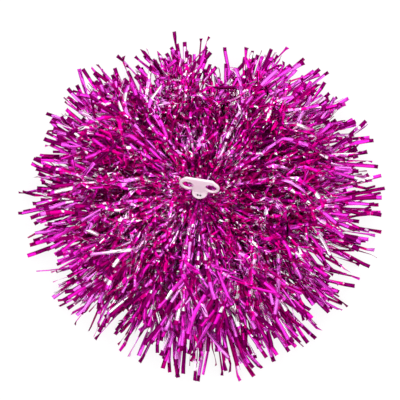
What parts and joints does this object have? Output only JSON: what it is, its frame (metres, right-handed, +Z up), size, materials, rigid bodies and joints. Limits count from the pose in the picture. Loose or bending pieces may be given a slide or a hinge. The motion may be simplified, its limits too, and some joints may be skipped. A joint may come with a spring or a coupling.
{
  "type": "cheer pom pom",
  "caption": "Round cheer pom pom of magenta metallised film ribbons tied under a white plastic two-finger grip that rocks on its cord.",
  "frame": {"origin": "on the floor under the middle of the pom pom", "axes": "+Z up through the grip, X along the grip's long side, the cord ends on the -Y side of the grip"},
  "size_m": [0.3935, 0.3891, 0.0995],
  "materials": {
    "magenta_film": "thin metallised plastic film, mirror bright, magenta",
    "white_moulding": "semi-gloss moulded plastic, off-white",
    "black_cord": "black nylon line with melted ends"
  },
  "bodies": {
    "pom": {"film_hank_01": "magenta_film", "film_hank_02": "magenta_film", "film_hank_03": "magenta_film", "film_hank_04": "magenta_film", "film_hank_05": "magenta_film", "film_hank_06": "magenta_film", "film_hank_07": "magenta_film", "film_hank_08": "magenta_film", "film_hank_09": "magenta_film", "film_hank_10": "magenta_film", "film_hank_11": "magenta_film", "film_hank_12": "magenta_film", "film_hank_13": "magenta_film", "film_hank_14": "magenta_film", "film_hank_15": "magenta_film", "film_hank_16": "magenta_film", "film_hank_17": "magenta_film", "film_hank_18": "magenta_film", "film_hank_19": "magenta_film", "film_hank_20": "magenta_film", "film_hank_21": "magenta_film", "film_hank_22": "magenta_film", "film_hank_23": "magenta_film", "film_hank_24": "magenta_film", "tie_cord": "black_cord"},
    "grip": {"finger_grip": "white_moulding"}
  },
  "joints": [
    {"name": "grip_rock", "type": "hinge", "parent": "pom", "child": "grip", "pos_m": [0, -0.00581, 0.0555], "axis": [0.9945, 0, 0.1045], "range_deg": [0, 35]}
  ]
}
